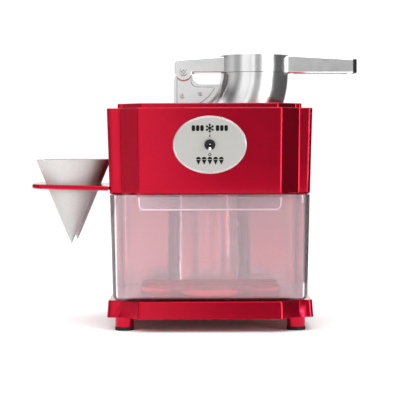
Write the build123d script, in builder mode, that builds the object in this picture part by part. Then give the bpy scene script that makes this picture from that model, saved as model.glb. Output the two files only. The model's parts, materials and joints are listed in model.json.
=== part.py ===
from build123d import *
import math
import os

# Shaved ice machine. Millimetres, X along the width, Y from front to back, Z up.
# The origin is on the floor, under the middle of the whole machine's box.

# Cabinet: a stepped plan, with a flat face, a 45 degree facet and a ledge at each front corner
cabinet_x = 19
front_y = -125
back_y = 125
half_width = 131.6
face_half = 91
facet = 23.5
wall = 3
edge_radius = 6

# Heights of the stack, from the floor up
pad_height = 4.5
base_low = 17
base_high = 39
housing_low = 174
housing_high = 284
deck_high = 290
overall_height = 356

# Housing draft: the walls lean out towards the top
housing_draft = 1.72
housing_inset = (housing_high - housing_low) * math.tan(math.radians(housing_draft))

# Hinge of the lever, and the chute bent round it
pivot_x = -15
pivot_z = 334
path_radius = 95
chute_radius = 45
chute_bore = 42
chute_arc = 70
chute_gap = 1
chute_clearance_arc = 12
rim_z = 333.2
lid_z = 333.5
barrel_radius = 11
boss_radius = 11.6
pin_radius = 4.5
running_gap = 0.05

# Hinge bracket, between the deck and the pivot
web_half = 14
plate_thickness = 3
ear_gap = 0.5
ear_thickness = 4.5
web_left = -28
web_shelf = 317.7
border = 4
bolt_places = [(-20, -8), (-20, 8)]
bolt_radius = 2.5
bolt_depth = 8
bolt_head = 3

# Lever: round lid, hinge arm on its left, handle on its right
lid_radius = 46.5
arm_top_left = 350.6
arm_top_right = 354.2
handle_half = 14
handle_low = 332.5
handle_end = 211
handle_end_top = 351
end_cap_thickness = 5
end_cap_fillet = 1

# Shaving drive: a disc with knives on a cross shaft, geared down from the motor
shaft_z = 236
shaft_radius = 5
disc_x = -12
disc_radius = 37.5
disc_thickness = 3
knife_count = 3
gear_teeth = 48
pinion_teeth = 16
gear_module = 1.25
gear_x = -53
gear_thickness = 8
motor_y = (gear_teeth + pinion_teeth) * gear_module / 2
motor_radius = 32
motor_low_x = -96
motor_shaft_radius = 3
front_plate_x = -42
rear_plate_x = -60
bearing_plate_thickness = 4

# Badge and switch on the front face
badge_z = 237
badge_half_width = 46
badge_half_height = 36
badge_thickness = 1.6
switch_radius = 4.4
nut_radius = 7
nut_thickness = 3.4
toggle_depth = 2.6
toggle_length = 13.5
toggle_tip_radius = 2.6
toggle_tilt = 22

# Clear bin, with a notch round the rear column
bin_low = base_high + 0.4
bin_high = housing_low - 0.4
bin_half_width = 127.4
bin_front = -116
bin_back = 108
bin_wall = 2.8
bin_draft = 1.4
bin_corner = 12
column_radius = 53.5
column_y = 125
notch_radius = 57.5
grip_height = 20
grip_radius = 7
wall_front = 112
wall_back = 121

# Drip tray on the bin's floor
tray_half_width = 92
tray_back = 60.5
tray_shoulder = -38
tray_front = -95
tray_low = bin_low + bin_wall + 0.3
tray_high = 51.5
tray_wall = 2
tray_corner = 12
tray_drain_radius = 18
tray_drain_offset = -21

# Cone holder on the cabinet's left side, canted up a little, and its paper cones
holder_x = -110.4
holder_z = 178.6
holder_cant = 1.5
holder_reach = 105.7
holder_thickness = 6
holder_root_half = 98
holder_end_half = 83
cone_x = -162
cone_y = 49
cone_tip_z = 107.4
cone_rim_z = 218.5
cone_half_angle = 22.8
cone_paper = 0.6
holder_hole = 34.2
tab_half = 15
tab_y = 70

# Feet
foot_x = 110
foot_y = 90
foot_radius = 11.8
pad_radius = 12

hinge_axis = Axis((pivot_x, 0, pivot_z), (0, 1, 0))
mouth_x = pivot_x + path_radius


def side_plane(x):
    """Upright plane across the width at x, with its local x towards the back."""
    return Plane(origin=(x, 0, 0), x_dir=(0, 1, 0), z_dir=(1, 0, 0))


def profile_plane(y):
    """Upright plane facing the front at y, with local x and y along X and Z."""
    return Plane(origin=(0, y, 0), x_dir=(1, 0, 0), z_dir=(0, -1, 0))


def radial_plane(angle):
    """Plane through the hinge axis, angle degrees below the chute's mouth."""
    turn = math.radians(angle)
    outward = (math.cos(turn), 0, -math.sin(turn))
    onward = (-math.sin(turn), 0, -math.cos(turn))
    return Plane(origin=(pivot_x, 0, pivot_z), x_dir=outward, z_dir=onward)


def housing_inset_at(z):
    """How far the drafted housing is drawn in at height z, from its size at the top."""
    return (housing_high - z) * math.tan(math.radians(housing_draft))


def front_plane(z):
    """Plane of the housing's leaning front face at height z."""
    lean = math.radians(housing_draft)
    normal = (0, -math.cos(lean), -math.sin(lean))
    return Plane(origin=(cabinet_x, front_y + housing_inset_at(z), z), x_dir=(1, 0, 0), z_dir=normal)


def rear_plane(z):
    """Plane of the housing's leaning back face at height z."""
    lean = math.radians(housing_draft)
    normal = (0, math.cos(lean), -math.sin(lean))
    return Plane(origin=(cabinet_x, back_y - housing_inset_at(z), z), x_dir=(-1, 0, 0), z_dir=normal)


def stepped_plan(side, face, front, back, inset=0):
    """Corner points of the stepped plan, drawn in by inset all round."""
    corner = inset * math.tan(math.radians(22.5))
    ledge_y = front + facet + inset
    right = [
        (face - corner, front + inset),
        (face + facet - corner, ledge_y),
        (side - inset, ledge_y),
        (side - inset, back - inset),
    ]
    left = [(-x, y) for x, y in reversed(right)]
    return [(cabinet_x + x, y) for x, y in right + left]


def upright_edges(piece):
    """Edges that run mostly upwards, whether or not their faces are drafted."""
    return piece.edges().filter_by(lambda edge: abs(edge.tangent_at(0.5).Z) > 0.5)


def save(piece, name):
    """Labels a finished piece and writes its STEP file."""
    piece.part.label = name
    export_step(piece.part, f"parts/{name}.step")


def screws(seat, places, head_radius, head_height, shank_radius, shank_length):
    """Cross-head screws seated on a plane, with their heads on its outer side."""
    along = Axis(seat.origin, seat.z_dir)
    recess_width = 0.3 * head_radius
    recess_length = 1.2 * head_radius
    with BuildPart() as group:
        with BuildSketch(seat):
            with Locations(*places):
                Circle(head_radius)
        extrude(amount=head_height)
        fillet(group.edges().group_by(along)[-1], 0.45 * head_height)
        with BuildSketch(seat.offset(head_height)):
            with Locations(*places):
                Rectangle(recess_length, recess_width)
                Rectangle(recess_width, recess_length)
        extrude(amount=-0.5 * head_height, mode=Mode.SUBTRACT)
        with BuildSketch(seat):
            with Locations(*places):
                Circle(shank_radius)
        extrude(amount=-shank_length)
    return group


def spur_gear(plane, teeth, thickness, bore, first_tooth):
    """Straight-flanked spur gear, its first tooth at that angle from the plane's local x."""
    pitch_radius = teeth * gear_module / 2
    root_radius = pitch_radius - 1.25 * gear_module
    tip_radius = pitch_radius + 0.9 * gear_module
    root_width = 1.9 * gear_module
    tip_width = 0.7 * gear_module
    with BuildPart() as gear:
        with BuildSketch(plane):
            Circle(root_radius)
            with PolarLocations(0, teeth, start_angle=first_tooth):
                Polygon(
                    (root_radius - 1, -root_width / 2),
                    (tip_radius, -tip_width / 2),
                    (tip_radius, tip_width / 2),
                    (root_radius - 1, root_width / 2),
                    align=None,
                )
            Circle(bore, mode=Mode.SUBTRACT)
        extrude(amount=thickness)
    return gear


os.makedirs("parts", exist_ok=True)

# ---------------- base and feet

base_side = 132
base_face = 90.7
base_front = -126
base_draft = 4.2
rim_fillet = 1.5

with BuildPart() as base_shell:
    with BuildSketch(Plane.XY.offset(base_low)):
        Polygon(*stepped_plan(base_side, base_face, base_front, -base_front), align=None)
    extrude(amount=base_high - base_low, taper=base_draft)
    fillet(upright_edges(base_shell), edge_radius)
    fillet(base_shell.edges().group_by(Axis.Z)[-1], rim_fillet)
    with BuildSketch(Plane.XY.offset(base_low)):
        Polygon(*stepped_plan(base_side, base_face, base_front, -base_front, inset=wall), align=None)
    extrude(amount=base_high - base_low - wall, taper=base_draft, mode=Mode.SUBTRACT)
save(base_shell, "base_shell")

cover_thickness = 2.5
fit_gap = 0.4
foot_screw_shank = 1.6
foot_screw_head = 3.4
foot_screw_head_height = 1.8
foot_screw_length = 11
foot_screw_pilot = 10
pad_recess = 2.6
pad_recess_radius = 4
pad_fillet = 1.2
foot_places = [(cabinet_x + sx * foot_x, sy * foot_y) for sx in (-1, 1) for sy in (-1, 1)]

with BuildPart() as base_cover:
    with BuildSketch(Plane.XY.offset(base_low)):
        Polygon(*stepped_plan(base_side, base_face, base_front, -base_front, wall + fit_gap), align=None)
    extrude(amount=cover_thickness)
    with BuildSketch(Plane.XY.offset(base_low)):
        with Locations(*foot_places):
            Circle(foot_radius)
    extrude(amount=pad_height - base_low)
    with BuildSketch(Plane.XY.offset(pad_height)):
        with Locations(*foot_places):
            Circle(foot_screw_shank)
    extrude(amount=foot_screw_pilot, mode=Mode.SUBTRACT)
save(base_cover, "base_cover")

with BuildPart() as foot_pads:
    with BuildSketch():
        with Locations(*foot_places):
            Circle(pad_radius)
    extrude(amount=pad_height)
    fillet(foot_pads.edges().group_by(Axis.Z)[0], pad_fillet)
    with BuildSketch():
        with Locations(*foot_places):
            Circle(pad_recess_radius)
    extrude(amount=pad_recess, mode=Mode.SUBTRACT)
    with BuildSketch():
        with Locations(*foot_places):
            Circle(foot_screw_shank)
    extrude(amount=pad_height, mode=Mode.SUBTRACT)
save(foot_pads, "foot_pads")

pad_seat = Plane(origin=(0, 0, pad_recess), x_dir=(1, 0, 0), z_dir=(0, 0, -1))
foot_screw_places = [(x, -y) for x, y in foot_places]
foot_screw_sizes = (foot_screw_head, foot_screw_head_height, foot_screw_shank, foot_screw_length)
foot_screws = screws(pad_seat, foot_screw_places, *foot_screw_sizes)
save(foot_screws, "foot_screws")

# ---------------- rear wall with its half-round column

with BuildPart() as rear_wall:
    with BuildSketch(Plane.XY.offset(base_high)):
        with Locations((cabinet_x, (wall_front + wall_back) / 2)):
            Rectangle(2 * bin_half_width, wall_back - wall_front)
        with Locations((cabinet_x, column_y)):
            Circle(column_radius)
        with Locations((cabinet_x, wall_back + column_radius)):
            Rectangle(4 * column_radius, 2 * column_radius, mode=Mode.SUBTRACT)
    extrude(amount=housing_low - base_high)
    with BuildSketch(Plane.XY.offset(base_high)):
        with Locations((cabinet_x, column_y)):
            Circle(column_radius - wall)
        with Locations((cabinet_x, wall_back - wall + column_radius)):
            Rectangle(4 * column_radius, 2 * column_radius, mode=Mode.SUBTRACT)
    extrude(amount=housing_low - base_high, mode=Mode.SUBTRACT)
save(rear_wall, "rear_wall")

# ---------------- upper housing

skirt_fillet = 2.5
switch_gap = 0.2
slot_clearance = 0.5
tab_low = holder_z + 1
tab_height = 4
rear_half_width = 90
rear_half_height = 40
rear_z = 229
housing_side_x = cabinet_x - half_width
cover_overlap = 7
cover_screw_shank = 1.4
cover_screw_places = [
    (sx * (rear_half_width + cover_overlap / 2), sz * (rear_half_height + cover_overlap / 2))
    for sx in (-1, 1)
    for sz in (-1, 1)
]

with BuildPart() as upper_housing:
    with BuildSketch(Plane.XY.offset(housing_low)):
        Polygon(*stepped_plan(half_width, face_half, front_y, back_y, inset=housing_inset), align=None)
    extrude(amount=housing_high - housing_low, taper=-housing_draft)
    fillet(upright_edges(upper_housing), edge_radius)
    fillet(upper_housing.edges().group_by(Axis.Z)[-1], rim_fillet)
    fillet(upper_housing.edges().group_by(Axis.Z)[0], skirt_fillet)
    with BuildSketch(Plane.XY.offset(housing_low)):
        Polygon(*stepped_plan(half_width, face_half, front_y, back_y, inset=housing_inset + wall), align=None)
    extrude(amount=housing_high - housing_low - wall, taper=-housing_draft, mode=Mode.SUBTRACT)
    # opening for the chute, one millimetre wider all round
    with BuildSketch(radial_plane(0)):
        with Locations((path_radius, 0)):
            Circle(chute_radius + chute_gap)
    revolve(axis=hinge_axis, revolution_arc=chute_arc + chute_clearance_arc, mode=Mode.SUBTRACT)
    # switch hole
    with BuildSketch(front_plane(badge_z)):
        Circle(switch_radius + switch_gap)
    extrude(amount=-2 * wall, mode=Mode.SUBTRACT)
    # rear service opening
    with BuildSketch(rear_plane(rear_z)):
        Rectangle(2 * rear_half_width, 2 * rear_half_height)
    extrude(amount=-2 * wall, mode=Mode.SUBTRACT)
    # holes for the hinge bracket's bolts and the rear cover's screws
    with BuildSketch(Plane.XY.offset(housing_high - wall)):
        with Locations(*bolt_places):
            Circle(bolt_radius)
    extrude(amount=wall, mode=Mode.SUBTRACT)
    with BuildSketch(rear_plane(rear_z)):
        with Locations(*cover_screw_places):
            Circle(cover_screw_shank)
    extrude(amount=-2 * wall, mode=Mode.SUBTRACT)
    # two slots for the cone holder's tabs
    with BuildSketch(side_plane(housing_side_x - 1)):
        with Locations((-tab_y, tab_low + tab_height / 2), (tab_y, tab_low + tab_height / 2)):
            Rectangle(2 * (tab_half + slot_clearance), tab_height + 2 * slot_clearance)
    extrude(amount=4 * wall, mode=Mode.SUBTRACT)
save(upper_housing, "upper_housing")

# ---------------- top deck

deck_side = 118
deck_face = 86.6
deck_step = 8
deck_radius = 4
deck_front = front_y + deck_step
deck_back = back_y - deck_step

with BuildPart() as top_deck:
    with BuildSketch(Plane.XY.offset(housing_high)):
        Polygon(*stepped_plan(deck_side, deck_face, deck_front, deck_back), align=None)
    extrude(amount=deck_high - housing_high)
    fillet(top_deck.edges().filter_by(Axis.Z), deck_radius)
    fillet(top_deck.edges().group_by(Axis.Z)[-1], rim_fillet)
    with BuildSketch(radial_plane(0)):
        with Locations((path_radius, 0)):
            Circle(chute_radius + chute_gap)
    revolve(axis=hinge_axis, revolution_arc=chute_arc + chute_clearance_arc, mode=Mode.SUBTRACT)
    with BuildSketch(Plane.XY.offset(housing_high)):
        with Locations(*bolt_places):
            Circle(bolt_radius)
    extrude(amount=deck_high - housing_high, mode=Mode.SUBTRACT)
save(top_deck, "top_deck")

# ---------------- housing floor

hood_half = 41
hood_wall = 2.3
hood_low_x = -36
hood_high_x = -7
floor_gap = 0.6
floor_inset = housing_inset + wall + fit_gap
floor_cut = (hood_high_x - hood_low_x + 2 * floor_gap, 2 * (hood_half + floor_gap))

with BuildPart() as housing_floor:
    with BuildSketch(Plane.XY.offset(housing_low)):
        Polygon(*stepped_plan(half_width, face_half, front_y, back_y, inset=floor_inset), align=None)
        with Locations(((hood_low_x + hood_high_x) / 2, 0)):
            Rectangle(*floor_cut, mode=Mode.SUBTRACT)
    extrude(amount=wall)
save(housing_floor, "housing_floor")

# ---------------- rear cover with vents, screws, cord gland

rear_cover_thickness = 2.5
vent_rows = 7
vent_pitch = 9
vent_column_pitch = 52
vent_length = 40
vent_height = 3.5
cover_corner = 8
cover_fillet = 1
gland_x = -58
gland_drop = 27
gland_z = rear_z - gland_drop
gland_bore = 3.8
gland_radius = 8.5
gland_thread_radius = 5.7
gland_hole_radius = 6

rear_axis = Axis(rear_plane(rear_z).origin, rear_plane(rear_z).z_dir)

with BuildPart() as rear_cover:
    with BuildSketch(rear_plane(rear_z)):
        RectangleRounded(
            2 * (rear_half_width + cover_overlap),
            2 * (rear_half_height + cover_overlap),
            cover_corner,
        )
    extrude(amount=rear_cover_thickness)
    fillet(rear_cover.edges().group_by(rear_axis)[-1], cover_fillet)
    with BuildSketch(rear_plane(rear_z)):
        with GridLocations(vent_column_pitch, vent_pitch, 2, vent_rows):
            SlotOverall(vent_length, vent_height)
        with Locations((gland_x, gland_z - rear_z)):
            Circle(gland_hole_radius)
        with Locations(*cover_screw_places):
            Circle(cover_screw_shank)
    extrude(amount=rear_cover_thickness, mode=Mode.SUBTRACT)
save(rear_cover, "rear_cover")

cover_seat = rear_plane(rear_z).offset(rear_cover_thickness)
cover_screw_head = 3
cover_screw_head_height = 1.6
cover_screw_length = 5
cover_screw_sizes = (cover_screw_head, cover_screw_head_height, cover_screw_shank, cover_screw_length)
rear_cover_screws = screws(cover_seat, cover_screw_places, *cover_screw_sizes)
save(rear_cover_screws, "rear_cover_screws")

# The toggle's ball sits inside the switch's barrel; the gland reaches as far back as the toggle does forward
badge_plane = front_plane(badge_z)
badge_axis = Axis(badge_plane.origin, badge_plane.z_dir)
toggle_swing = math.radians(toggle_tilt + housing_draft)
toggle_pivot = badge_plane.origin + badge_plane.z_dir * toggle_depth
toggle_direction = Vector(0, -math.cos(toggle_swing), -math.sin(toggle_swing))
toggle_end_y = toggle_pivot.Y + toggle_direction.Y * toggle_length - toggle_tip_radius

gland_nut_thickness = 5
gland_inside = 12
gland_nut_margin = 1.5
gland_collar_margin = 0.5
gland_fillet = 1.5
gland_gap = 0.35
gland_seat_y = rear_plane(gland_z).origin.Y + rear_cover_thickness + gland_gap
gland_length = -toggle_end_y - gland_seat_y
gland_seat = Plane(origin=(cabinet_x - gland_x, gland_seat_y, gland_z), x_dir=(-1, 0, 0), z_dir=(0, 1, 0))

with BuildPart() as cord_gland:
    with BuildSketch(gland_seat):
        RegularPolygon(gland_radius + gland_nut_margin, 6)
    extrude(amount=gland_nut_thickness)
    with BuildSketch(gland_seat):
        Circle(gland_radius - gland_collar_margin)
    extrude(amount=gland_length)
    fillet(cord_gland.edges().group_by(Axis.Y)[-1], gland_fillet)
    with BuildSketch(gland_seat):
        Circle(gland_thread_radius)
    extrude(amount=-gland_inside)
    with BuildSketch(gland_seat.offset(gland_length)):
        Circle(gland_bore)
    extrude(amount=-gland_length - gland_inside, mode=Mode.SUBTRACT)
save(cord_gland, "cord_gland")

# ---------------- badge plate and toggle switch

badge_fillet = 0.7

with BuildPart() as badge_plate:
    with BuildSketch(badge_plane):
        Ellipse(badge_half_width, badge_half_height)
    extrude(amount=badge_thickness)
    fillet(badge_plate.edges().group_by(badge_axis)[-1], badge_fillet)
    with BuildSketch(badge_plane):
        Circle(switch_radius + switch_gap)
    extrude(amount=badge_thickness, mode=Mode.SUBTRACT)
save(badge_plate, "badge_plate")

switch_end = badge_thickness + nut_thickness + 0.6
switch_bore = 3.2
switch_bore_depth = 10
switch_depth = 20
switch_case = (16, 28)
terminal = (5, 0.8)
terminal_pitch = 9
terminal_length = 8
knurls = 24
knurl_radius = 0.35

with BuildPart() as switch_body:
    with BuildSketch(badge_plane.offset(-wall)):
        Rectangle(*switch_case)
    extrude(amount=-switch_depth)
    with BuildSketch(badge_plane.offset(-wall)):
        Circle(switch_radius)
    extrude(amount=wall + switch_end)
    with BuildSketch(badge_plane.offset(switch_end)):
        Circle(switch_bore)
    extrude(amount=-switch_bore_depth, mode=Mode.SUBTRACT)
    with BuildSketch(badge_plane.offset(-wall - switch_depth)):
        with GridLocations(0, terminal_pitch, 1, 3):
            Rectangle(*terminal)
    extrude(amount=-terminal_length)
save(switch_body, "switch_body")

with BuildPart() as switch_nut:
    with BuildSketch(badge_plane.offset(badge_thickness)):
        Circle(nut_radius)
        with PolarLocations(nut_radius, knurls):
            Circle(knurl_radius, mode=Mode.SUBTRACT)
        Circle(switch_radius, mode=Mode.SUBTRACT)
    extrude(amount=nut_thickness)
save(switch_nut, "switch_nut")

ball_radius = 2.4
neck_radius = 1.4
toggle_pin_radius = 0.7
toggle_pin_half = 2.7

with BuildPart() as switch_toggle:
    with BuildSketch(Plane(origin=toggle_pivot, x_dir=toggle_direction, z_dir=(1, 0, 0))):
        with BuildLine():
            neck_x = math.sqrt(ball_radius**2 - neck_radius**2)
            ball = ThreePointArc((-ball_radius, 0), (0, ball_radius), (neck_x, neck_radius))
            bat = Line(ball @ 1, (toggle_length, toggle_tip_radius))
            tip = RadiusArc(bat @ 1, (toggle_length + toggle_tip_radius, 0), toggle_tip_radius)
            Line(tip @ 1, ball @ 0)
        make_face()
    revolve(axis=Axis(toggle_pivot, toggle_direction))
    with BuildSketch(Plane(origin=toggle_pivot, x_dir=(0, 1, 0), z_dir=(1, 0, 0))):
        Circle(toggle_pin_radius)
    extrude(amount=toggle_pin_half, both=True)
save(switch_toggle, "switch_toggle")

# ---------------- ice chute

throat_x = disc_x + 6
throat_radius = 42
throat_bore = 38.5

with BuildPart() as ice_chute:
    for tube_radius, throat_end, how in (
        (chute_radius, throat_radius, Mode.ADD),
        (chute_bore, throat_bore, Mode.SUBTRACT),
    ):
        with BuildSketch(radial_plane(0)):
            with Locations((path_radius, 0)):
                Circle(tube_radius)
        revolve(axis=hinge_axis, revolution_arc=chute_arc, mode=how)
        with BuildSketch(radial_plane(chute_arc)):
            with Locations((path_radius, 0)):
                Circle(tube_radius)
        with BuildSketch(side_plane(throat_x)):
            with Locations((0, shaft_z)):
                Circle(throat_end)
        loft(mode=how)
    split(bisect_by=Plane.XY.offset(rim_z), keep=Keep.BOTTOM)
save(ice_chute, "ice_chute")

# ---------------- hinge bracket, its side plates, screws and bolts

web_post = -3.5
web_fillet = 13
web_right = mouth_x - chute_radius + 5
post_top = pivot_z - 2
barrel_corner = 1

with BuildPart() as hinge_bracket:
    with BuildSketch(Plane.XZ) as web:
        Polygon(
            (web_left, deck_high),
            (web_left, pivot_z - barrel_radius),
            (pivot_x - barrel_radius + barrel_corner, post_top),
            (web_post, post_top),
            (web_post, web_shelf),
            (web_right, web_shelf),
            (web_right, deck_high),
            align=None,
        )
        fillet(web.vertices().sort_by_distance((web_post, web_shelf))[0], web_fillet)
        with Locations((pivot_x, pivot_z)):
            Circle(barrel_radius)
            Circle(pin_radius + running_gap, mode=Mode.SUBTRACT)
    extrude(amount=web_half, both=True)
    # the web stops where the chute's wall begins
    with BuildSketch(radial_plane(0)):
        with Locations((path_radius, 0)):
            Circle(chute_radius)
    revolve(axis=hinge_axis, revolution_arc=chute_arc + chute_clearance_arc, mode=Mode.SUBTRACT)
    with BuildSketch(Plane.XY.offset(deck_high)):
        with Locations(*bolt_places):
            Circle(bolt_radius)
    extrude(amount=bolt_depth, mode=Mode.SUBTRACT)
save(hinge_bracket, "hinge_bracket")

plate_left_margin = 0.7
plate_post_margin = 2
plate_reach = path_radius - chute_radius - border
plate_left = web_left + border + plate_left_margin
plate_post = web_post - border + plate_post_margin
plate_shelf = web_shelf - border
plate_low = deck_high + 1
plate_top = pivot_z - 6
plate_corner = 3
plate_screw_places = [(-16.7, 302.2), (7.3, 305.5)]
plate_screw_head = 3.2
plate_screw_height = 1.4
plate_screw_shank = 1.5
bolt_hex_radius = 4.6


def bracket_plate(outer_y):
    """Side plate of the hinge bracket, its outer face at outer_y, towards the front."""
    with BuildPart() as plate:
        with BuildSketch(profile_plane(outer_y)) as outline:
            Polygon(
                (plate_left, plate_low),
                (plate_left, plate_top - plate_corner),
                (plate_left + plate_corner, plate_top),
                (plate_post, plate_top),
                (plate_post, plate_shelf),
                (web_right, plate_shelf),
                (web_right, plate_low),
                align=None,
            )
            fillet(outline.vertices().sort_by_distance((plate_post, plate_shelf))[0], web_fillet - border)
            with Locations((pivot_x, pivot_z)):
                Circle(plate_reach, mode=Mode.INTERSECT)
                Circle(barrel_radius - 2, mode=Mode.SUBTRACT)
            with Locations(*plate_screw_places):
                Circle(plate_screw_shank, mode=Mode.SUBTRACT)
        inward = math.copysign(plate_thickness, outer_y)
        extrude(amount=inward)
    return plate


plate_y = web_half + plate_thickness
bracket_plate_front = bracket_plate(-plate_y)
save(bracket_plate_front, "bracket_plate_front")
bracket_plate_rear = bracket_plate(plate_y)
save(bracket_plate_rear, "bracket_plate_rear")

front_screw_seat = profile_plane(-plate_y)
rear_screw_seat = Plane(origin=(0, plate_y, 0), x_dir=(-1, 0, 0), z_dir=(0, 1, 0))
rear_screw_places = [(-x, z) for x, z in plate_screw_places]
plate_screw_sizes = (plate_screw_head, plate_screw_height, plate_screw_shank, plate_thickness)
bracket_screws_front = screws(front_screw_seat, plate_screw_places, *plate_screw_sizes)
save(bracket_screws_front, "bracket_screws_front")
bracket_screws_rear = screws(rear_screw_seat, rear_screw_places, *plate_screw_sizes)
save(bracket_screws_rear, "bracket_screws_rear")

with BuildPart() as bracket_bolts:
    with BuildSketch(Plane.XY.offset(housing_high - wall)):
        with Locations(*bolt_places):
            RegularPolygon(bolt_hex_radius, 6)
    extrude(amount=-bolt_head)
    with BuildSketch(Plane.XY.offset(housing_high - wall)):
        with Locations(*bolt_places):
            Circle(bolt_radius)
    extrude(amount=deck_high - housing_high + wall + bolt_depth)
save(bracket_bolts, "bracket_bolts")

# ---------------- lever: lid, arm, handle, end cap, pusher, pin

slot_radius = 14.5
slot_half = plate_y + ear_gap
ear_half = slot_half + ear_thickness
ear_left = pivot_x - boss_radius
arm_corner = 8
arm_right = mouth_x - lid_radius + 8
arm_fillet = 1.5
handle_fillet = 2
handle_rim = 6
handle_rim_side = 3.5
handle_hollow_corner = 5
handle_hollow = 12

with BuildPart() as lever:
    # hinge arm with its round boss
    with BuildSketch(Plane.XZ) as arm:
        Polygon(
            (ear_left, pivot_z),
            (ear_left, arm_top_left - 0.5),
            (pivot_x, arm_top_left),
            (arm_right, arm_top_right),
            (arm_right, lid_z),
            (pivot_x, lid_z),
            align=None,
        )
        fillet(arm.vertices().sort_by_distance((ear_left, arm_top_left - 0.5))[0], arm_corner)
        with Locations((pivot_x, pivot_z)):
            Circle(boss_radius)
    extrude(amount=ear_half, both=True)
    fillet(lever.edges().group_by(Axis.Y)[0] + lever.edges().group_by(Axis.Y)[-1], arm_fillet)
    # handle
    with BuildSketch(Plane.XZ):
        Polygon(
            (mouth_x, handle_low),
            (handle_end, handle_low),
            (handle_end, handle_end_top),
            (mouth_x + lid_radius, overall_height),
            (mouth_x, overall_height),
            align=None,
        )
    extrude(amount=handle_half, both=True)
    handle_edges = lever.edges().filter_by(lambda edge: edge.center().X > mouth_x)
    fillet(handle_edges.filter_by(lambda edge: edge.length > 2 * handle_half), handle_fillet)
    # round lid
    with BuildSketch(Plane.XY.offset(lid_z)):
        with Locations((mouth_x, 0)):
            Circle(lid_radius)
    extrude(amount=overall_height - lid_z)
    # room for the bracket between the two ears
    with BuildSketch(Plane.XZ):
        with Locations((pivot_x, pivot_z)):
            Circle(slot_radius)
            with Locations((-slot_radius, 0)):
                Rectangle(2 * slot_radius, 3 * slot_radius)
    extrude(amount=slot_half, both=True, mode=Mode.SUBTRACT)
    with BuildSketch(Plane.XZ):
        with Locations((pivot_x, pivot_z)):
            Circle(pin_radius)
    extrude(amount=ear_half, both=True, mode=Mode.SUBTRACT)
    # the handle's underside is hollow, within its rim
    with BuildSketch(Plane.XY.offset(handle_low)):
        with Locations(((mouth_x + lid_radius + handle_end) / 2, 0)):
            RectangleRounded(
                handle_end - mouth_x - lid_radius - 2 * handle_rim,
                2 * (handle_half - handle_rim_side),
                handle_hollow_corner,
            )
    extrude(amount=handle_hollow, mode=Mode.SUBTRACT)
    # flat underside of the lid
    with BuildSketch(Plane.XY.offset(handle_low)):
        with Locations((mouth_x, 0)):
            Circle(lid_radius)
    extrude(amount=lid_z - handle_low, mode=Mode.SUBTRACT)
save(lever, "lever")

with BuildPart() as lever_end_cap:
    with BuildSketch(side_plane(handle_end)):
        with Locations((0, (handle_low + handle_end_top) / 2)):
            Rectangle(2 * handle_half, handle_end_top - handle_low)
    extrude(amount=end_cap_thickness)
    fillet(lever_end_cap.edges().filter_by(Axis.X), handle_fillet)
    fillet(lever_end_cap.edges().group_by(Axis.X)[-1], end_cap_fillet)
save(lever_end_cap, "lever_end_cap")

pusher_radius = 41.2
pusher_face = 58
pusher_head = 7
stem_long = 26
stem_short = 9
pusher_flange_radius = 24
pusher_flange = 4

with BuildPart() as pusher:
    with BuildSketch(radial_plane(0)):
        with Locations((path_radius, 0)):
            Rectangle(stem_long, stem_short)
            Rectangle(stem_short, stem_long)
    revolve(axis=hinge_axis, revolution_arc=pusher_face - pusher_head)
    with BuildSketch(radial_plane(pusher_face - pusher_head)):
        with Locations((path_radius, 0)):
            Circle(pusher_radius)
    revolve(axis=hinge_axis, revolution_arc=pusher_head)
    split(bisect_by=Plane.XY.offset(lid_z), keep=Keep.BOTTOM)
    with BuildSketch(Plane.XY.offset(lid_z)):
        with Locations((mouth_x, 0)):
            Circle(pusher_flange_radius)
    extrude(amount=-pusher_flange)
save(pusher, "pusher")

with BuildPart() as pivot_pin:
    with BuildSketch(Plane.XZ):
        with Locations((pivot_x, pivot_z)):
            Circle(pin_radius)
    extrude(amount=ear_half, both=True)
save(pivot_pin, "pivot_pin")

pivot_head = 5.2
pivot_head_height = 2
pivot_recess = 1
pivot_head_fillet = 0.8

with BuildPart() as pivot_screws:
    for side in (-1, 1):
        with BuildSketch(profile_plane(side * ear_half)):
            with Locations((pivot_x, pivot_z)):
                Circle(pivot_head)
        extrude(amount=-side * pivot_head_height)
    fillet(pivot_screws.edges().group_by(Axis.Y)[0], pivot_head_fillet)
    fillet(pivot_screws.edges().group_by(Axis.Y)[-1], pivot_head_fillet)
    for side in (-1, 1):
        with BuildSketch(profile_plane(side * (ear_half + pivot_head_height))):
            with Locations((pivot_x, pivot_z)):
                Rectangle(1.2 * pivot_head, 0.3 * pivot_head)
                Rectangle(0.3 * pivot_head, 1.2 * pivot_head)
        extrude(amount=side * pivot_recess, mode=Mode.SUBTRACT)
save(pivot_screws, "pivot_screws")

# ---------------- shaving disc, knives, shaft and gear

disc_face_x = disc_x + disc_thickness
slot_reach = 23
knife_length = 22
knife_width = 9
knife_thickness = 1.2
knife_offset = 6
knife_chamfer = 0.4
slot_width = 5
knife_screw_gap = 12
knife_screw_offset = 6.5
knife_screw_head = 1.9
knife_screw_height = 0.9
shaft_tail = 4
stud_radius = 3
stud_length = 6
nut_hex_radius = 6.5
nut_height = 4.5


def shaft_plane(x):
    """Plane across the shaft at x, its local x towards the back, centred on the shaft."""
    return Plane(origin=(x, 0, shaft_z), x_dir=(0, 1, 0), z_dir=(1, 0, 0))


with BuildPart() as blade_disc:
    with BuildSketch(shaft_plane(disc_x)):
        Circle(disc_radius)
        Circle(shaft_radius, mode=Mode.SUBTRACT)
        with PolarLocations(slot_reach, knife_count):
            Rectangle(knife_length, slot_width, mode=Mode.SUBTRACT)
    extrude(amount=disc_thickness)
save(blade_disc, "blade_disc")

with BuildPart() as blade_knives:
    with BuildSketch(shaft_plane(disc_face_x)):
        with PolarLocations(slot_reach, knife_count):
            with Locations((0, knife_offset)):
                Rectangle(knife_length, knife_width)
    extrude(amount=knife_thickness)
    chamfer(blade_knives.edges().group_by(Axis.X)[-1], knife_chamfer)
save(blade_knives, "blade_knives")

knife_screw_places = [(side * knife_screw_gap / 2, knife_screw_offset) for side in (-1, 1)]

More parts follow.
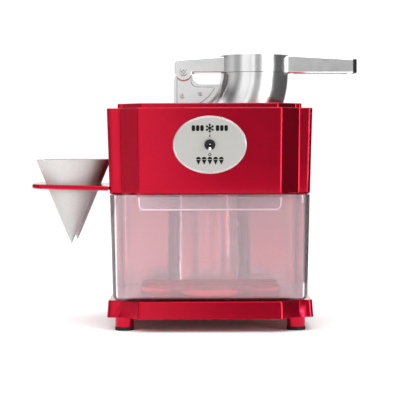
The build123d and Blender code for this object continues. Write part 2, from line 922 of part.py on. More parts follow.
with BuildPart() as knife_screws:
    with BuildSketch(shaft_plane(disc_face_x + knife_thickness)):
        with PolarLocations(slot_reach, knife_count):
            with Locations(*knife_screw_places):
                Circle(knife_screw_head)
    extrude(amount=knife_screw_height)
save(knife_screws, "knife_screws")

with BuildPart() as blade_shaft:
    with BuildSketch(shaft_plane(rear_plate_x - shaft_tail)):
        Circle(shaft_radius)
    extrude(amount=disc_face_x - rear_plate_x + shaft_tail)
    with BuildSketch(shaft_plane(disc_face_x)):
        Circle(stud_radius)
    extrude(amount=stud_length)
save(blade_shaft, "blade_shaft")

with BuildPart() as blade_nut:
    with BuildSketch(shaft_plane(disc_face_x)):
        RegularPolygon(nut_hex_radius, 6)
        Circle(stud_radius, mode=Mode.SUBTRACT)
    extrude(amount=nut_height)
save(blade_nut, "blade_nut")

blade_gear = spur_gear(shaft_plane(gear_x), gear_teeth, gear_thickness, shaft_radius, 180 / gear_teeth)
save(blade_gear, "blade_gear")

# ---------------- bearing plates, bushes and spacers

bush_radius = 8
plate_low_z = housing_low + wall
plate_high_z = 276
plate_front_y = -46
plate_rear_y = motor_y + 34
spacer_inset = 8
spacer_places = [
    (y, z)
    for y in (plate_front_y + spacer_inset, plate_rear_y - spacer_inset)
    for z in (plate_low_z + 1.5 * spacer_inset, plate_high_z - spacer_inset)
]
spacer_radius = 4
bearing_corner = 4
pinion_clearance = 4


def bearing_plate(x):
    """Upright plate across the drive at x, bored for the shaft's bush and the motor shaft."""
    with BuildPart() as plate:
        with BuildSketch(side_plane(x)):
            with Locations(((plate_front_y + plate_rear_y) / 2, (plate_low_z + plate_high_z) / 2)):
                RectangleRounded(plate_rear_y - plate_front_y, plate_high_z - plate_low_z, bearing_corner)
            with Locations((0, shaft_z)):
                Circle(bush_radius, mode=Mode.SUBTRACT)
            with Locations((motor_y, shaft_z)):
                Circle(motor_shaft_radius + pinion_clearance, mode=Mode.SUBTRACT)
        extrude(amount=bearing_plate_thickness)
    return plate


bearing_plate_inner = bearing_plate(front_plate_x)
save(bearing_plate_inner, "bearing_plate_inner")
bearing_plate_outer = bearing_plate(rear_plate_x)
save(bearing_plate_outer, "bearing_plate_outer")

with BuildPart() as shaft_bushes:
    for plate_x in (front_plate_x, rear_plate_x):
        with BuildSketch(shaft_plane(plate_x)):
            Circle(bush_radius)
            Circle(shaft_radius + running_gap, mode=Mode.SUBTRACT)
        extrude(amount=bearing_plate_thickness)
save(shaft_bushes, "shaft_bushes")

with BuildPart() as plate_spacers:
    with BuildSketch(side_plane(rear_plate_x + bearing_plate_thickness)):
        with Locations(*spacer_places):
            Circle(spacer_radius)
    extrude(amount=front_plate_x - rear_plate_x - bearing_plate_thickness)
save(plate_spacers, "plate_spacers")

# ---------------- motor

motor_cap = 7
motor_vents = 8
motor_vent_radius = 3
motor_vent_circle = 20
can_chamfer = 2


def motor_plane(x):
    """Plane across the motor at x, centred on its shaft."""
    return Plane(origin=(x, motor_y, shaft_z), x_dir=(0, 1, 0), z_dir=(1, 0, 0))


with BuildPart() as motor_can:
    with BuildSketch(motor_plane(motor_low_x)):
        Circle(motor_radius)
        Circle(motor_shaft_radius + running_gap, mode=Mode.SUBTRACT)
    extrude(amount=rear_plate_x - motor_low_x)
    chamfer(motor_can.edges().group_by(Axis.X)[-1].sort_by(SortBy.LENGTH)[-1], can_chamfer)
save(motor_can, "motor_can")

with BuildPart() as motor_end_cap:
    with BuildSketch(motor_plane(motor_low_x - motor_cap)):
        Circle(motor_radius - 2)
        Circle(motor_shaft_radius + running_gap, mode=Mode.SUBTRACT)
        with PolarLocations(motor_vent_circle, motor_vents):
            Circle(motor_vent_radius, mode=Mode.SUBTRACT)
    extrude(amount=motor_cap)
save(motor_end_cap, "motor_end_cap")

with BuildPart() as motor_shaft:
    with BuildSketch(motor_plane(motor_low_x - motor_cap)):
        Circle(motor_shaft_radius)
    extrude(amount=gear_x + gear_thickness - motor_low_x + motor_cap)
save(motor_shaft, "motor_shaft")

motor_pinion = spur_gear(motor_plane(gear_x), pinion_teeth, gear_thickness, motor_shaft_radius, 0)
save(motor_pinion, "motor_pinion")

# ---------------- discharge hood over the disc

hood_bore = hood_half - hood_wall
hood_low_z = housing_low + 0.2
lip_high_z = shaft_z - throat_radius - 1
shaft_gap = 2

with BuildPart() as discharge_hood:
    with BuildSketch(side_plane(hood_low_x)):
        with Locations((0, shaft_z)):
            Circle(hood_half)
        with Locations((0, (hood_low_z + shaft_z) / 2)):
            Rectangle(2 * hood_half, shaft_z - hood_low_z)
    extrude(amount=hood_high_x - hood_low_x)
    with BuildSketch(side_plane(hood_low_x + hood_wall)):
        with Locations((0, shaft_z)):
            Circle(hood_bore)
        with Locations((0, (hood_low_z + shaft_z) / 2)):
            Rectangle(2 * hood_bore, shaft_z - hood_low_z)
    extrude(amount=hood_high_x - hood_low_x - hood_wall, mode=Mode.SUBTRACT)
    with BuildSketch(side_plane(hood_high_x - hood_wall)):
        with Locations((0, (hood_low_z + lip_high_z) / 2)):
            Rectangle(2 * hood_bore, lip_high_z - hood_low_z)
    extrude(amount=hood_wall)
    with BuildSketch(shaft_plane(hood_low_x)):
        Circle(shaft_radius + shaft_gap)
    extrude(amount=hood_wall, mode=Mode.SUBTRACT)
save(discharge_hood, "discharge_hood")

# ---------------- clear ice bin

bin_height = bin_high - bin_low
bin_inset = bin_height * math.tan(math.radians(bin_draft))
flange_overlap = 1


def bin_plan(inset, corner):
    """Plan of the bin at its floor, drawn in by inset, notched at the back round the column."""
    side = bin_half_width - bin_inset - inset
    front = bin_front + bin_inset + inset
    back = bin_back - bin_inset - inset
    with BuildSketch(Plane.XY.offset(bin_low)) as plan:
        with Locations((cabinet_x, (front + back) / 2)):
            RectangleRounded(2 * side, back - front, corner)
        with Locations((cabinet_x, column_y)):
            Circle(notch_radius + bin_inset + inset, mode=Mode.SUBTRACT)
    return plan.sketch


with BuildPart() as ice_bin:
    extrude(bin_plan(0, bin_corner), amount=bin_height, taper=-bin_draft)
    hollow = bin_plan(bin_wall, bin_corner - bin_wall)
    hollow.locate(Location((0, 0, bin_wall)) * hollow.location)
    extrude(hollow, amount=bin_height, taper=-bin_draft, mode=Mode.SUBTRACT)
    # grip panel, hung from a flange along the front of the rim
    with BuildSketch(profile_plane(front_y)):
        with Locations((cabinet_x, bin_high - grip_height / 2)):
            Rectangle(2 * face_half, grip_height)
    extrude(amount=-bin_wall)
    fillet(ice_bin.edges().filter_by(Axis.Y).group_by(Axis.Z)[0], grip_radius)
    with BuildSketch(Plane.XY.offset(bin_high)):
        with Locations((cabinet_x, (front_y + bin_front + flange_overlap) / 2)):
            Rectangle(2 * face_half, bin_front + flange_overlap - front_y)
    extrude(amount=-bin_wall)
save(ice_bin, "ice_bin")

# ---------------- drip tray


def tray_plan(inset):
    """D-shaped plan of the tray, straight at the back and bowed at the front."""
    side = tray_half_width - inset
    with BuildSketch(Plane.XY.offset(tray_low)) as plan:
        with BuildLine():
            bow = ThreePointArc(
                (cabinet_x - side, tray_shoulder),
                (cabinet_x, tray_front + inset),
                (cabinet_x + side, tray_shoulder),
            )
            Polyline(
                bow @ 1,
                (cabinet_x + side, tray_back - inset),
                (cabinet_x - side, tray_back - inset),
                bow @ 0,
            )
        make_face()
        fillet(plan.vertices().group_by(Axis.Y)[-1], tray_corner - inset)
    return plan.sketch


drain_x = cabinet_x + tray_drain_offset

with BuildPart() as drip_tray:
    extrude(tray_plan(0), amount=tray_high - tray_low)
    floor = tray_plan(tray_wall)
    floor.locate(Location((0, 0, tray_wall)) * floor.location)
    extrude(floor, amount=tray_high - tray_low, mode=Mode.SUBTRACT)
    with BuildSketch(Plane.XY.offset(tray_low + tray_wall)):
        with Locations((drain_x, 0)):
            Circle(tray_drain_radius)
            Circle(tray_drain_radius - tray_wall, mode=Mode.SUBTRACT)
    extrude(amount=tray_wall)
save(drip_tray, "drip_tray")

# ---------------- cone holder and its two paper cones

cant = math.radians(holder_cant)
holder_plane = Plane(
    origin=(holder_x, 0, holder_z),
    x_dir=(math.cos(cant), 0, -math.sin(cant)),
    z_dir=(math.sin(cant), 0, math.cos(cant)),
)
hole_x = (cone_x - holder_x) / math.cos(cant)
tab_inside = 11
tab_root = 6
tab_x = holder_x + (tab_inside - tab_root) / 2
holder_bow = 7
holder_corner = 16
holder_fillet = 2
hole_fillet = 0.8
end_x = -holder_reach

with BuildPart() as cone_holder:
    with BuildSketch(holder_plane) as plate:
        with BuildLine():
            bow = ThreePointArc(
                (end_x + holder_bow, -holder_end_half),
                (end_x, 0),
                (end_x + holder_bow, holder_end_half),
            )
            Polyline(bow @ 1, (0, holder_root_half), (0, -holder_root_half), bow @ 0)
        make_face()
        fillet(plate.vertices().group_by(Axis.X)[0], holder_corner)
    extrude(amount=holder_thickness)
    rims = cone_holder.faces().sort_by(Axis.Z)
    fillet(rims[0].edges() + rims[-1].edges(), holder_fillet)
    with BuildSketch(holder_plane):
        with Locations((hole_x, -cone_y), (hole_x, cone_y)):
            Circle(holder_hole)
    extrude(amount=holder_thickness, mode=Mode.SUBTRACT)
    round_edges = cone_holder.edges().filter_by(GeomType.CIRCLE)
    fillet(round_edges.filter_by(lambda edge: abs(edge.radius - holder_hole) < running_gap), hole_fillet)
    with BuildSketch(Plane.XY.offset(tab_low)):
        with Locations((tab_x, -tab_y), (tab_x, tab_y)):
            Rectangle(tab_inside + tab_root, 2 * tab_half)
    extrude(amount=tab_height)
save(cone_holder, "cone_holder")


def paper_cone(y):
    """Thin paper cone, point down, hanging in the holder's hole at y."""
    flare = math.tan(math.radians(cone_half_angle))
    height = cone_rim_z - cone_tip_z
    inner_tip = cone_paper / math.sin(math.radians(cone_half_angle))
    with BuildPart() as cone:
        with BuildSketch(Plane(origin=(cone_x, y, cone_tip_z), x_dir=(1, 0, 0), z_dir=(0, -1, 0))):
            Polygon(
                (0, 0),
                (height * flare, height),
                ((height - inner_tip) * flare, height),
                (0, inner_tip),
                align=None,
            )
        revolve(axis=Axis((cone_x, y, cone_tip_z), (0, 0, 1)))
    return cone


cone_front = paper_cone(-cone_y)
save(cone_front, "cone_front")
cone_rear = paper_cone(cone_y)
save(cone_rear, "cone_rear")
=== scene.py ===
import json
import math

import bmesh
import bpy
from mathutils import Matrix, Vector


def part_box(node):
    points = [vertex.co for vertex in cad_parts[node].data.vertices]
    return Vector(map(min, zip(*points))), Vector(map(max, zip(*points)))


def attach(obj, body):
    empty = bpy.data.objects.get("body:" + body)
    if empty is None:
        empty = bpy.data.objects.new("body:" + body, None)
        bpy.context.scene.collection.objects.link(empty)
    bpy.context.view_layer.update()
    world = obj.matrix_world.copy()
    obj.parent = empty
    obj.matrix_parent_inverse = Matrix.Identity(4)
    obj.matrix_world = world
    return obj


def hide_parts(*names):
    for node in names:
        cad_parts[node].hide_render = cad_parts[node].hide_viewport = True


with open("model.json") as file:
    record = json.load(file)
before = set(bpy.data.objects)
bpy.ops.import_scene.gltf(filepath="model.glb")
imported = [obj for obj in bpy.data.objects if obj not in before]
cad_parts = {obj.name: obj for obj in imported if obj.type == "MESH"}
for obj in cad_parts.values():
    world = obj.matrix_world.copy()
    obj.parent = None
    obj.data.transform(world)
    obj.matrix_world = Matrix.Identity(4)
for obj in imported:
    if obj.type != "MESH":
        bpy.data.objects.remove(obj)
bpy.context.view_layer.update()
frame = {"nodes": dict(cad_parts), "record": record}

MM = 0.001
scene = bpy.context.scene

# ------------------------------------------------------------------ camera

CAMERA_DISTANCE = 2.025
CAMERA_SIDE = 0.0066
CAMERA_HEIGHT = 0.2304
LENS = 135.8
SENSOR = 36.0
HORIZON_SHIFT = -0.125
CAMERA_ROLL = 0.2


def make_camera():
    """Level camera straight in front of the machine, shifted down as the product shot is."""
    data = bpy.data.cameras.new("camera")
    data.lens = LENS
    data.sensor_width = SENSOR
    data.shift_y = HORIZON_SHIFT
    data.clip_end = 50
    camera = bpy.data.objects.new("camera", data)
    camera.location = (CAMERA_SIDE, -CAMERA_DISTANCE, CAMERA_HEIGHT)
    camera.rotation_euler = (math.radians(90), math.radians(CAMERA_ROLL), 0)
    scene.collection.objects.link(camera)
    scene.camera = camera


make_camera()
scene.view_settings.view_transform = "Standard"

# ------------------------------------------------------------------ node helpers


class Nodes:
    """A material's node tree, with short calls for the nodes that the materials share."""

    def __init__(self, name):
        self.material = bpy.data.materials.new(name)
        self.material.use_nodes = True
        self.tree = self.material.node_tree
        self.shader = self.tree.nodes["Principled BSDF"]
        self.output = self.tree.nodes["Material Output"]
        self.place = self.tree.nodes.new("ShaderNodeTexCoord").outputs["Object"]

    def link(self, source, target):
        self.tree.links.new(source, target)

    def set(self, **values):
        for socket, value in values.items():
            self.shader.inputs[socket.replace("_", " ")].default_value = value

    def stretched(self, scale):
        mapping = self.tree.nodes.new("ShaderNodeMapping")
        mapping.inputs["Scale"].default_value = scale
        self.link(self.place, mapping.inputs["Vector"])
        return mapping.outputs["Vector"]

    def noise(self, scale, detail=2.0, roughness=0.5, stretch=None):
        node = self.tree.nodes.new("ShaderNodeTexNoise")
        node.inputs["Scale"].default_value = scale
        node.inputs["Detail"].default_value = detail
        node.inputs["Roughness"].default_value = roughness
        self.link(self.stretched(stretch) if stretch else self.place, node.inputs["Vector"])
        return node.outputs["Fac"]

    def cells(self, scale):
        node = self.tree.nodes.new("ShaderNodeTexVoronoi")
        node.inputs["Scale"].default_value = scale
        self.link(self.place, node.inputs["Vector"])
        return node.outputs["Color"]

    def ramp(self, source, low, high, low_value, high_value):
        """Maps source from low..high to low_value..high_value, clamped."""
        node = self.tree.nodes.new("ShaderNodeMapRange")
        limits = (("From Min", low), ("From Max", high), ("To Min", low_value), ("To Max", high_value))
        for socket, value in limits:
            node.inputs[socket].default_value = value
        self.link(source, node.inputs["Value"])
        return node.outputs["Result"]

    def mix(self, factor, first, second):
        """Mixes two colours or colour outputs by factor."""
        node = self.tree.nodes.new("ShaderNodeMix")
        node.data_type = "RGBA"
        self.link(factor, node.inputs["Factor"])
        for socket, colour in ((node.inputs[6], first), (node.inputs[7], second)):
            if isinstance(colour, bpy.types.NodeSocket):
                self.link(colour, socket)
            else:
                socket.default_value = (*colour, 1)
        return node.outputs[2]

    def math(self, operation, first, second):
        node = self.tree.nodes.new("ShaderNodeMath")
        node.operation = operation
        for socket, value in ((node.inputs[0], first), (node.inputs[1], second)):
            if isinstance(value, bpy.types.NodeSocket):
                self.link(value, socket)
            else:
                socket.default_value = value
        return node.outputs["Value"]

    def blend(self, factor, first, second):
        """Mixes two shaders by factor."""
        node = self.tree.nodes.new("ShaderNodeMixShader")
        self.link(factor, node.inputs["Fac"])
        self.link(first, node.inputs[1])
        self.link(second, node.inputs[2])
        return node.outputs["Shader"]

    def bump(self, height, distance, strength=1.0):
        """Bump of the given depth in metres, added to any bump already there."""
        node = self.tree.nodes.new("ShaderNodeBump")
        node.inputs["Distance"].default_value = distance
        node.inputs["Strength"].default_value = strength
        self.link(height, node.inputs["Height"])
        normal = self.shader.inputs["Normal"]
        if normal.is_linked:
            self.link(normal.links[0].from_socket, node.inputs["Normal"])
        self.link(node.outputs["Normal"], normal)

    def painted_gap_shade(self, reach):
        """Factor that rises to 1 deep in corners and narrow gaps, where it paints shade into the colour."""
        occlusion = self.tree.nodes.new("ShaderNodeAmbientOcclusion")
        occlusion.samples = 8
        occlusion.inputs["Distance"].default_value = reach
        return self.ramp(occlusion.outputs["AO"], 0.75, 0.4, 0.0, 1.0)

    def edge_wear(self, radius):
        """Factor that is near 1 on convex edges, from the difference of bevelled and true normals."""
        bevel = self.tree.nodes.new("ShaderNodeBevel")
        bevel.inputs["Radius"].default_value = radius
        geometry = self.tree.nodes.new("ShaderNodeNewGeometry")
        dot = self.tree.nodes.new("ShaderNodeVectorMath")
        dot.operation = "DOT_PRODUCT"
        self.link(bevel.outputs["Normal"], dot.inputs[0])
        self.link(geometry.outputs["Normal"], dot.inputs[1])
        return self.ramp(dot.outputs["Value"], 0.99, 0.8, 0.0, 1.0)


# ------------------------------------------------------------------ materials


def red_gloss():
    """Deep red metallic moulding under a clear coat."""
    m = Nodes("red_gloss")
    m.set(Metallic=0.85, Specular_IOR_Level=0.1, Coat_Weight=0.3, Coat_Roughness=0.03, Coat_IOR=1.4)
    broad = m.ramp(m.noise(9, 3), 0.35, 0.65, 0, 1)
    base = m.mix(broad, (0.42, 0.001, 0.018), (0.46, 0.001, 0.021))
    flake = m.ramp(m.cells(4200), 0.6, 1.0, 0.0, 0.2)
    m.link(m.mix(flake, base, (0.60, 0.006, 0.045)), m.shader.inputs["Base Color"])
    m.link(m.ramp(m.noise(55, 4), 0.3, 0.7, 0.11, 0.14), m.shader.inputs["Roughness"])
    m.bump(m.noise(420, 2), 0.00001, 0.2)
    return m.material


def cast_aluminium():
    """Satin polished aluminium casting, with fine polishing marks and soft smudges."""
    m = Nodes("cast_aluminium")
    m.set(Metallic=1.0, Specular_IOR_Level=0.5)
    cloud = m.ramp(m.noise(38, 4), 0.3, 0.7, 0, 1)
    metal = m.mix(cloud, (0.76, 0.765, 0.77), (0.84, 0.84, 0.84))
    # Painted shade: the colour darkens to near black in corners and narrow gaps.
    m.link(m.mix(m.painted_gap_shade(0.004), metal, (0.05, 0.05, 0.055)), m.shader.inputs["Base Color"])
    smudges = m.ramp(m.noise(70, 5), 0.3, 0.7, 0.15, 0.21)
    specks = m.ramp(m.noise(900, 2), 0.3, 0.7, 0.0, 0.05)
    rough = m.math("ADD", smudges, specks)
    m.link(rough, m.shader.inputs["Roughness"])
    m.bump(m.noise(240, 6, 0.6), 0.00002, 0.3)
    m.bump(m.noise(6, 2, stretch=(1, 1, 300)), 0.00002, 0.2)
    return m.material


def brushed_badge():
    """Stainless badge plate brushed along its width, under a thin clear lacquer."""
    m = Nodes("brushed_badge")
    m.set(Metallic=0.85, Anisotropic=0.4, Coat_Weight=0.25, Coat_Roughness=0.12)
    grain = m.noise(1, 5, 0.65, stretch=(22, 22, 3200))
    m.link(m.mix(grain, (0.42, 0.41, 0.39), (0.51, 0.50, 0.48)), m.shader.inputs["Base Color"])
    m.link(m.ramp(grain, 0.3, 0.7, 0.34, 0.46), m.shader.inputs["Roughness"])
    m.bump(grain, 0.00002, 0.4)
    return m.material


def bright_metal(name, dark, light, rough_low, rough_high):
    """Plated or ground steel, with fine scratches, a mottled tone and painted shade in its corners and gaps.
    """
    m = Nodes(name)
    m.set(Metallic=1.0)
    metal = m.mix(m.noise(160, 4), dark, light)
    # Painted shade: the colour darkens to black in corners and narrow gaps.
    m.link(m.mix(m.painted_gap_shade(0.0015), metal, (0.01, 0.01, 0.01)), m.shader.inputs["Base Color"])
    m.link(m.ramp(m.noise(700, 3), 0.3, 0.7, rough_low, rough_high), m.shader.inputs["Roughness"])
    m.bump(m.noise(1, 3, stretch=(260, 2600, 260)), 0.00002, 0.3)
    return m.material


def plastic(name, dark, light, rough_low, rough_high, grain, depth):
    """Moulded plastic with a fine grain, a slight mottle and paler, rubbed edges."""
    m = Nodes(name)
    m.set(Specular_IOR_Level=0.3)
    mottle = m.mix(m.noise(45, 4), dark, light)
    rubbed = tuple(min(1.0, channel * 1.25 + 0.015) for channel in light)
    m.link(m.mix(m.edge_wear(0.0005), mottle, rubbed), m.shader.inputs["Base Color"])
    m.link(m.ramp(m.noise(120, 4), 0.3, 0.7, rough_low, rough_high), m.shader.inputs["Roughness"])
    m.bump(m.noise(grain, 3, 0.6), depth, 0.6)
    return m.material


def clear_plastic(name, haze_low, haze_high):
    """Clear moulded bin: see-through and glossy, with a faint haze and fine rub marks; the haze's pink tint
    is painted red light bounced from the red housing and base.
    """
    m = Nodes(name)
    m.set(Specular_IOR_Level=0.0, Roughness=0.6)
    # Haze colour: its pink tint is painted red bounce light from the red housing and base.
    m.link(m.mix(m.noise(9, 2), (0.93, 0.71, 0.78), (0.96, 0.77, 0.83)), m.shader.inputs["Base Color"])
    m.bump(m.noise(300, 3), 0.00001, 0.3)
    see_through = m.tree.nodes.new("ShaderNodeBsdfTransparent")
    m.link(m.mix(m.noise(11, 2), (1.0, 0.95, 0.96), (1.0, 0.97, 0.98)), see_through.inputs["Color"])
    gloss = m.tree.nodes.new("ShaderNodeBsdfGlossy")
    m.link(m.mix(m.noise(60, 2), (0.94, 0.94, 0.94), (1, 1, 1)), gloss.inputs["Color"])
    m.link(m.ramp(m.noise(90, 4), 0.3, 0.7, 0.02, 0.06), gloss.inputs["Roughness"])
    rubs = m.ramp(m.noise(1, 6, 0.7, stretch=(30, 30, 900)), 0.45, 0.75, 0.0, 0.03)
    layer = m.tree.nodes.new("ShaderNodeLayerWeight")
    layer.inputs["Blend"].default_value = 0.3
    grazing = m.ramp(layer.outputs["Facing"], 0.4, 1.0, 0.0, 0.12)
    haze = m.math("ADD", m.ramp(m.noise(14, 3), 0.3, 0.7, haze_low, haze_high), m.math("ADD", rubs, grazing))
    fresnel = m.tree.nodes.new("ShaderNodeFresnel")
    fresnel.inputs["IOR"].default_value = 1.5
    body = m.blend(haze, see_through.outputs["BSDF"], m.shader.outputs["BSDF"])
    glossy_body = m.blend(fresnel.outputs["Fac"], body, gloss.outputs["BSDF"])
    light_path = m.tree.nodes.new("ShaderNodeLightPath")
    lit = m.blend(light_path.outputs["Is Shadow Ray"], glossy_body, see_through.outputs["BSDF"])
    m.link(lit, m.output.inputs["Surface"])
    return m.material


def black_rubber():
    """Matt black rubber with a dusty bloom."""
    m = Nodes("black_rubber")
    m.set(Specular_IOR_Level=0.2)
    bloom = m.ramp(m.noise(150, 5), 0.4, 0.8, 0.0, 1.0)
    m.link(m.mix(bloom, (0.012, 0.012, 0.012), (0.026, 0.025, 0.023)), m.shader.inputs["Base Color"])
    m.link(m.ramp(m.noise(300, 3), 0.3, 0.7, 0.62, 0.82), m.shader.inputs["Roughness"])
    m.bump(m.noise(1500, 3), 0.00005, 0.6)
    return m.material


def paper():
    """Uncoated white cone paper, with fibres, a soft mottle and slight cockling."""
    m = Nodes("paper")
    m.set(Sheen_Weight=0.15, Sheen_Roughness=0.5, Subsurface_Weight=0.12, Subsurface_Scale=0.002)
    mottle = m.ramp(m.noise(260, 5, 0.65), 0.35, 0.65, 0.0, 1.0)
    m.link(m.mix(mottle, (0.355, 0.345, 0.34), (0.375, 0.365, 0.36)), m.shader.inputs["Base Color"])
    m.link(m.ramp(m.noise(500, 3), 0.3, 0.7, 0.72, 0.88), m.shader.inputs["Roughness"])
    m.bump(m.noise(1, 5, 0.7, stretch=(900, 900, 420)), 0.00006, 0.6)
    m.bump(m.noise(22, 2), 0.0003, 0.3)
    return m.material


def ink():
    """Flat black printing ink on the badge, slightly uneven."""
    m = Nodes("ink")
    m.set(Specular_IOR_Level=0.08)
    blacks = m.mix(m.noise(900, 3), (0.004, 0.004, 0.004), (0.012, 0.012, 0.013))
    m.link(blacks, m.shader.inputs["Base Color"])
    m.link(m.ramp(m.noise(1200, 2), 0.3, 0.7, 0.42, 0.6), m.shader.inputs["Roughness"])
    m.bump(m.noise(2400, 2), 0.00001, 0.5)
    return m.material


MATERIALS = {
    "red_gloss": red_gloss(),
    "cast_aluminium": cast_aluminium(),
    "brushed_badge": brushed_badge(),
    "bright_nickel": bright_metal("bright_nickel", (0.62, 0.62, 0.62), (0.78, 0.78, 0.77), 0.10, 0.2),
    "steel": bright_metal("steel", (0.42, 0.42, 0.43), (0.60, 0.60, 0.61), 0.2, 0.34),
    "motor_steel": bright_metal("motor_steel", (0.30, 0.31, 0.32), (0.42, 0.43, 0.43), 0.3, 0.45),
    "bronze_bush": bright_metal("bronze_bush", (0.40, 0.25, 0.10), (0.58, 0.40, 0.20), 0.25, 0.4),
    "clear_plastic": clear_plastic("clear_plastic", 0.09, 0.105),
    "black_plastic": plastic(
        "black_plastic", (0.005, 0.005, 0.006), (0.010, 0.010, 0.011), 0.38, 0.5, 1600, 0.00003,
    ),
    "white_plastic": plastic(
        "white_plastic", (0.74, 0.74, 0.71), (0.82, 0.82, 0.79), 0.35, 0.5, 900, 0.00003,
    ),
    "black_rubber": black_rubber(),
    "paper": paper(),
}
INK = ink()
CLEAR_PANEL = clear_plastic("clear_panel", 0.02, 0.035)
CLEAR_LIP = clear_plastic("clear_lip", 0.6, 0.7)

# ------------------------------------------------------------------ mesh helpers


def body_of_node(node):
    """Name of the CAD body that a node belongs to."""
    return next(body for body, nodes in BODIES.items() if node in nodes)


def slot_of_node(node):
    """Name of the record's material slot that a node takes."""
    return next(row["material_slot"] for row in frame["record"]["subparts"] if row["node"] == node)


BODIES = frame["record"]["behaviour"]["bodies"]


def show(piece, material, body):
    """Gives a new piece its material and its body."""
    piece.data.materials.clear()
    piece.data.materials.append(material)
    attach(piece, body)
    return piece


def new_piece(name, mesh_maker):
    """A new object whose mesh is filled by mesh_maker(bmesh)."""
    mesh = bpy.data.meshes.new(name)
    shape = bmesh.new()
    mesh_maker(shape)
    shape.to_mesh(mesh)
    shape.free()
    piece = bpy.data.objects.new(name, mesh)
    scene.collection.objects.link(piece)
    return piece


def shade(piece, sharp_angle=35):
    """Smooth shading that stays flat across large faces and sharp across hard edges."""
    mesh = piece.data
    for polygon in mesh.polygons:
        polygon.use_smooth = True
    mesh.set_sharp_from_angle(angle=math.radians(sharp_angle))
    weighted = piece.modifiers.new("weighted_normals", "WEIGHTED_NORMAL")
    weighted.keep_sharp = True
    weighted.weight = 80


def softened(node, radius, segments=3, angle=30):
    """A copy of a CAD node with its hard edges rounded, standing in for the node."""
    source = frame["nodes"][node].data

    def copy_and_round(shape):
        shape.from_mesh(source)
        bmesh.ops.remove_doubles(shape, verts=shape.verts, dist=2e-6)
        bmesh.ops.dissolve_limit(shape, angle_limit=math.radians(0.3), verts=shape.verts, edges=shape.edges)
        hard = [
            edge for edge in shape.edges
            if len(edge.link_faces) == 2 and edge.calc_face_angle(0) > math.radians(angle)
        ]
        bmesh.ops.bevel(
            shape, geom=hard, offset=radius, offset_type="OFFSET", segments=segments, profile=0.5,
            affect="EDGES", clamp_overlap=True,
        )

    piece = new_piece(node + "_finished", copy_and_round)
    shade(piece)
    slot = slot_of_node(node)
    show(piece, MATERIALS[slot], body_of_node(node))
    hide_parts(node)
    return piece


# ------------------------------------------------------------------ CAD nodes that keep their shape

for node_name, node_object in frame["nodes"].items():
    finish_material = MATERIALS[slot_of_node(node_name)]
    if not node_object.material_slots:
        node_object.data.materials.append(finish_material)
    for material_slot in node_object.material_slots:
        material_slot.material = finish_material

# ------------------------------------------------------------------ pieces with softened edges

SOFTENED = {
    "upper_housing": 0.6,
    "top_deck": 0.6,
    "base_shell": 0.6,
    "base_cover": 0.4,
    "rear_wall": 0.5,
    "rear_cover": 0.4,
    "lever": 1.4,
    "lever_end_cap": 0.4,
    "hinge_bracket": 0.7,
    "bracket_plate_front": 0.5,
    "bracket_plate_rear": 0.5,
    "ice_chute": 0.8,
    "pusher": 0.8,
    "ice_bin": 0.8,
    "drip_tray": 0.6,
}
softened_pieces = {name: softened(name, edge_radius * MM) for name, edge_radius in SOFTENED.items()}

# The grip panel and its flange are thinner and clearer than the bin's walls
PANEL_BEHIND = -117 * MM
bin_mesh = softened_pieces["ice_bin"].data
bin_mesh.materials.append(CLEAR_PANEL)
for polygon in bin_mesh.polygons:
    if polygon.center.y < PANEL_BEHIND:
        polygon.material_index = 1

# ------------------------------------------------------------------ moulded lip behind the grip panel

PANEL_HALF = 91 * MM
PANEL_DROP = 20 * MM
LIP_INSET = 1.6 * MM
LIP_TOP_DROP = 3 * MM
LIP_DEPTH = 2.9 * MM
LIP_CORNER = 7 * MM
LIP_RADIUS = 0.75 * MM


def grip_lip():
    """Rounded lip that runs down the panel's sides and along its lower edge."""
    low, high = (Vector(corner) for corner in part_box("ice_bin"))
    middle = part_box("badge_plate")
    centre_x = (middle[0][0] + middle[1][0]) / 2
    left, right = centre_x - PANEL_HALF + LIP_INSET, centre_x + PANEL_HALF - LIP_INSET
    top, bottom = high.z - LIP_TOP_DROP, high.z - PANEL_DROP + LIP_INSET
    depth = low.y + LIP_DEPTH
    path = [(left, top)]
    for corner_x, start in ((left + LIP_CORNER, 180), (right - LIP_CORNER, 270)):
        for k in range(9):
            a = math.radians(start + 90 * k / 8)
            x = corner_x + LIP_CORNER * math.cos(a)
            path.append((x, bottom + LIP_CORNER + LIP_CORNER * math.sin(a)))
    path.append((right, top))
    sides = 10

    def sweep_lip(shape):
        rings = []
        for i, (x, z) in enumerate(path):
            before, after = path[max(i - 1, 0)], path[min(i + 1, len(path) - 1)]
            along = Vector((after[0] - before[0], 0, after[1] - before[1])).normalized()
            across = along.cross(Vector((0, 1, 0)))
            ring = []
            for k in range(sides):
                a = 2 * math.pi * k / sides
                offset = LIP_RADIUS * (across * math.cos(a) + Vector((0, 1, 0)) * math.sin(a))
                ring.append(shape.verts.new(Vector((x, depth, z)) + offset))
            rings.append(ring)
        for here, there in zip(rings, rings[1:]):
            for k in range(sides):
                shape.faces.new((here[k], there[k], there[(k + 1) % sides], here[(k + 1) % sides]))
        shape.faces.new(rings[0])
        shape.faces.new(list(reversed(rings[-1])))
        bmesh.ops.recalc_face_normals(shape, faces=shape.faces)

    piece = new_piece("grip_lip", sweep_lip)
    shade(piece, 60)
    show(piece, CLEAR_LIP, "bin")


grip_lip()

# ------------------------------------------------------------------ badge rim and printed marks

BADGE_LEAN = math.radians(1.72)
BADGE_THICKNESS = 1.6 * MM
INK_DEPTH = 0.15 * MM


def badge_frame(lift):
    """Frame on the badge's front face: x to the right, y up the plate, z out of it, raised by lift."""
    low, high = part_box("badge_plate")
    out = Vector((0, -math.cos(BADGE_LEAN), -math.sin(BADGE_LEAN)))
    up = Vector((0, -math.sin(BADGE_LEAN), math.cos(BADGE_LEAN)))
    middle = (Vector(low) + Vector(high)) / 2 + out * (BADGE_THICKNESS / 2 + lift)
    axes = Matrix((Vector((1, 0, 0)), up, out)).transposed().to_4x4()
    return Matrix.Translation(middle) @ axes


